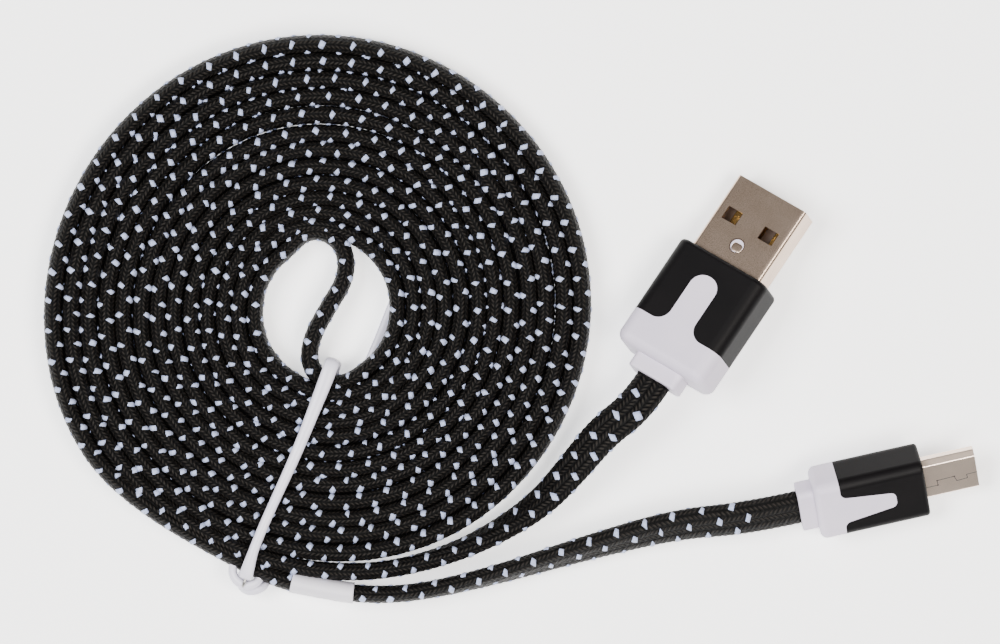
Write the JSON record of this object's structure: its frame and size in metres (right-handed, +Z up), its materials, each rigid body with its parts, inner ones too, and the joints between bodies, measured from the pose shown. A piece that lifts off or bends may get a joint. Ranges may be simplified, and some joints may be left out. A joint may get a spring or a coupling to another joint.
{
  "type": "charging cable",
  "caption": "Flat braided charging cable wound on edge into a double spiral, with a USB-A plug, a micro-B plug, a marker sleeve and a twist tie.",
  "frame": {"origin": "centre of the coil's hole, on the surface that the coil lies on", "axes": "+Z up, out of the surface that the coil lies on; +X towards the side where both plugs lie; +Y towards the USB-A plug's tip side"},
  "size_m": [0.1324, 0.0813, 0.0144],
  "materials": {
    "black_moulding": "satin, fine grain",
    "black_wire_insulation": "extruded",
    "braided_cable": "plaited nylon with white tracer",
    "gold_contact": "gold flash over brass",
    "green_wire_insulation": "extruded",
    "inner_mould_plastic": "as moulded",
    "micro_b_insulator_plastic": "moulded",
    "plug_shell_steel": "nickel-plated steel, fine brushed",
    "red_wire_insulation": "extruded",
    "sleeve_film": "shrunk film",
    "solder": "bright",
    "spring_steel": "stamped",
    "tie_core_wire": "annealed",
    "tie_film": "thin film",
    "usb_a_insulator_plastic": "moulded",
    "white_moulding": "satin, fine grain",
    "white_wire_insulation": "extruded"
  },
  "bodies": {
    "cable_assembly": {"cable_centre_bend": "braided_cable", "cable_coil": "braided_cable", "cable_micro_leg": "braided_cable", "cable_usb_leg": "braided_cable", "marker_sleeve": "sleeve_film", "micro_b_base": "white_moulding", "micro_b_cable_end": "braided_cable", "micro_b_contact_data_minus": "gold_contact", "micro_b_contact_data_plus": "gold_contact", "micro_b_contact_ground": "gold_contact", "micro_b_contact_id": "gold_contact", "micro_b_contact_power": "gold_contact", "micro_b_cover": "black_moulding", "micro_b_inner_mould": "inner_mould_plastic", "micro_b_insulator": "micro_b_insulator_plastic", "micro_b_rear_clip": "spring_steel", "micro_b_shell": "plug_shell_steel", "micro_b_solder_joints": "solder", "micro_b_wire_black": "black_wire_insulation", "micro_b_wire_green": "green_wire_insulation", "micro_b_wire_red": "red_wire_insulation", "micro_b_wire_white": "white_wire_insulation", "twist_tie_strip": "tie_film", "twist_tie_wire": "tie_core_wire", "usb_a_base": "white_moulding", "usb_a_cable_end": "braided_cable", "usb_a_contact_data_minus": "gold_contact", "usb_a_contact_data_plus": "gold_contact", "usb_a_contact_ground": "gold_contact", "usb_a_contact_power": "gold_contact", "usb_a_cover": "black_moulding", "usb_a_inner_mould": "inner_mould_plastic", "usb_a_insulator": "usb_a_insulator_plastic", "usb_a_rear_clip": "spring_steel", "usb_a_shell": "plug_shell_steel", "usb_a_solder_joints": "solder", "usb_a_wire_black": "black_wire_insulation", "usb_a_wire_green": "green_wire_insulation", "usb_a_wire_red": "red_wire_insulation", "usb_a_wire_white": "white_wire_insulation"},
    "micro_latch_left": {"micro_b_latch_left": "spring_steel"},
    "micro_latch_right": {"micro_b_latch_right": "spring_steel"}
  },
  "joints": [
    {"name": "micro_latch_left_press", "type": "hinge", "parent": "cable_assembly", "child": "micro_latch_left", "pos_m": [0.0843, -0.02223, 0.00595], "axis": [0.1541, -0.773, -0.6154], "range_deg": [0, 3.68], "stiffness_Nm_per_rad": 0.0002, "springref_deg": -2.86},
    {"name": "micro_latch_right_press", "type": "hinge", "parent": "cable_assembly", "child": "micro_latch_right", "pos_m": [0.08498, -0.02563, 0.00324], "axis": [0.1541, -0.773, -0.6154], "range_deg": [0, 3.68], "stiffness_Nm_per_rad": 0.0002, "springref_deg": -2.86}
  ]
}
